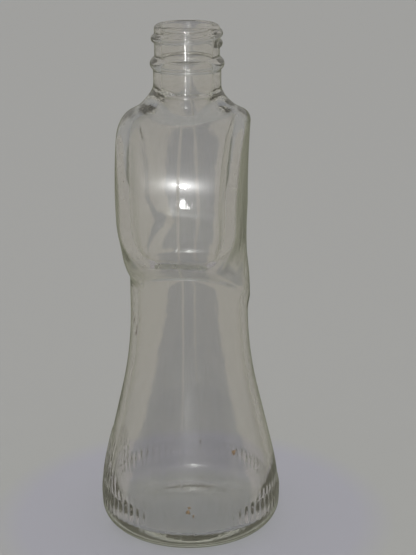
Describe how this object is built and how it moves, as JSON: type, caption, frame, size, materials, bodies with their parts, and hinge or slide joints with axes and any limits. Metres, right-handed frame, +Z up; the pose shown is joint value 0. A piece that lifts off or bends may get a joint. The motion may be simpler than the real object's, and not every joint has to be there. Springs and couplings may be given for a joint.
{
  "type": "glass toiletry bottle",
  "caption": "Clear glass bottle, open and empty: screw neck with a bead, flask-like head with a bowed front, ledge, waist, and a skirt flaring to a round foot with upright ribs.",
  "frame": {"origin": "middle of the foot, on the surface that the bottle stands on", "axes": "+Z up along the neck's axis, front of the bottle towards -Y, narrow sides towards +X and -X"},
  "size_m": [0.0594, 0.0594, 0.1628],
  "materials": {
    "glass": "clear colourless moulded glass, faint yellow-green where it is thick, glossy with slight waviness"
  },
  "bodies": {
    "root": {"bottle": "glass"}
  },
  "joints": []
}
